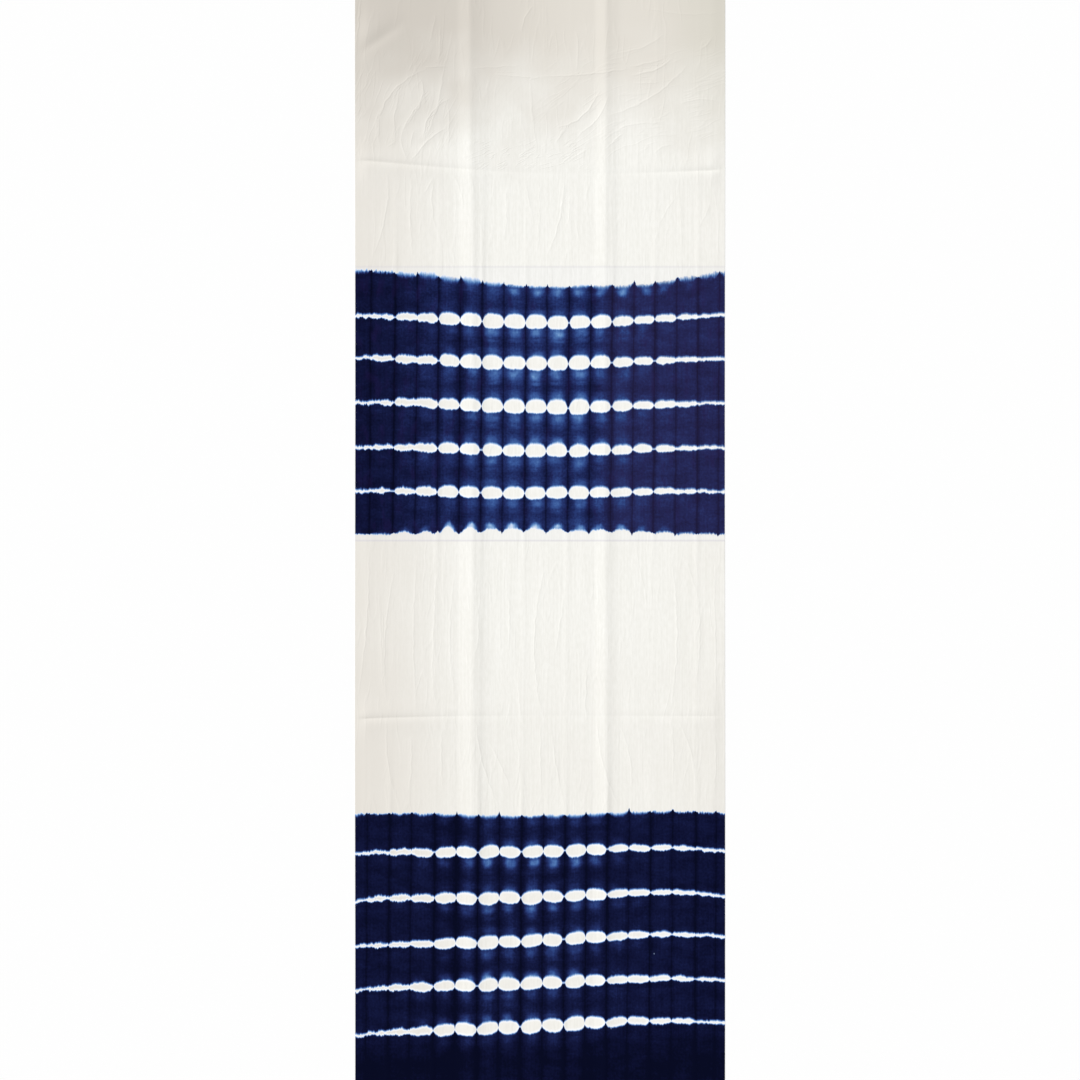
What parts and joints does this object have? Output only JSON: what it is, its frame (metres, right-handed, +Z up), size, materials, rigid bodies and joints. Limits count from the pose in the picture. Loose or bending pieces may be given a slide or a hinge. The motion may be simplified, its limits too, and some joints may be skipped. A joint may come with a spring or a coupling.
{
  "type": "shibori dyed cloth",
  "caption": "Narrow length of cotton cloth, pleated, bound and dipped in indigo, opened out flat with its press folds and cross folds still in it.",
  "frame": {"origin": "under the middle of the sheet, on the surface that it lies on", "axes": "+X across the cloth to its right selvedge, +Y along the cloth to its undyed end, +Z up out of the cloth's face"},
  "size_m": [0.3401, 1, 0.0029],
  "materials": {
    "cloth": "matte plain weave, dyed dark indigo in two bands with undyed resist lines"
  },
  "bodies": {
    "root": {"cloth": "cloth"}
  },
  "joints": []
}
